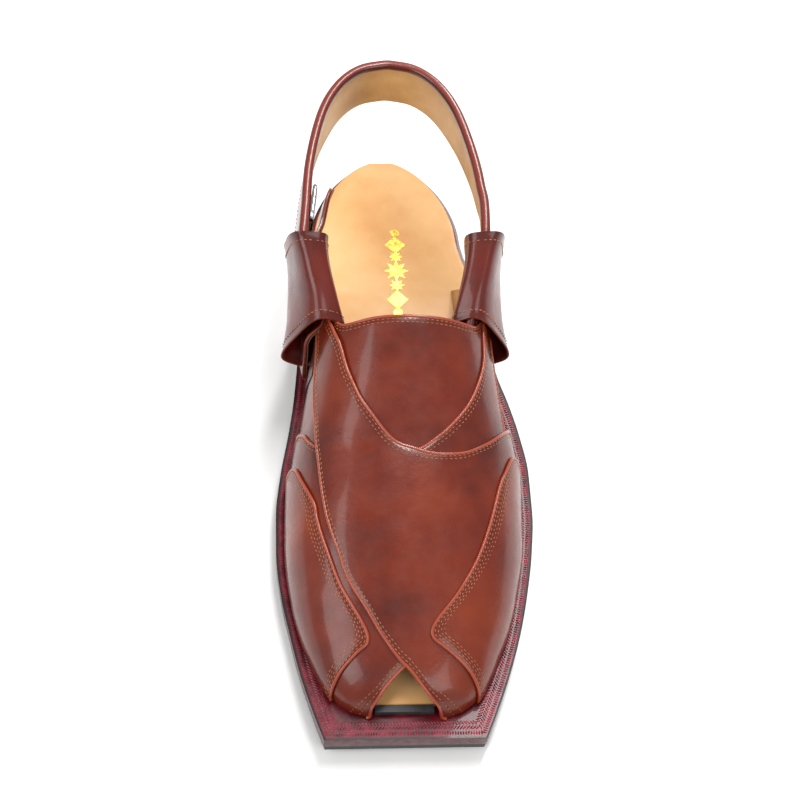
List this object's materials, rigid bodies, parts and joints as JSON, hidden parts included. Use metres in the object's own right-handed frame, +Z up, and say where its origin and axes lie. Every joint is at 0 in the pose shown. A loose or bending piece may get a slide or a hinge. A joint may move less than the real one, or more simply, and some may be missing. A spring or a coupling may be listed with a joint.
{
  "type": "peshawari chappal",
  "caption": "Left peshawari chappal: crossed leather vamp straps with an open toe, instep panel, sleeves and a heel strap, on a welted leather sole with rubber below.",
  "frame": {"origin": "centre of the bounding box, at the floor that the shoe stands on", "axes": "+Y from toe to heel, +X to the outer side of the foot, +Z up"},
  "size_m": [0.1164, 0.3078, 0.092],
  "materials": {
    "chestnut_leather": "glossy",
    "maroon_leather": "glossy",
    "tan_leather": "matte",
    "welt_leather": "satin",
    "rubber": "matte",
    "steel": "polished"
  },
  "bodies": {
    "root": {"outsole": "rubber", "heel_lift": "rubber", "midsole_welt": "welt_leather", "insole": "tan_leather", "toe_rand": "rubber", "upper": "chestnut_leather", "side_overlay_inner": "chestnut_leather", "side_overlay_outer": "chestnut_leather", "heel_strap": "maroon_leather", "buckle_strap": "maroon_leather", "buckle_frame": "steel"}
  },
  "joints": []
}
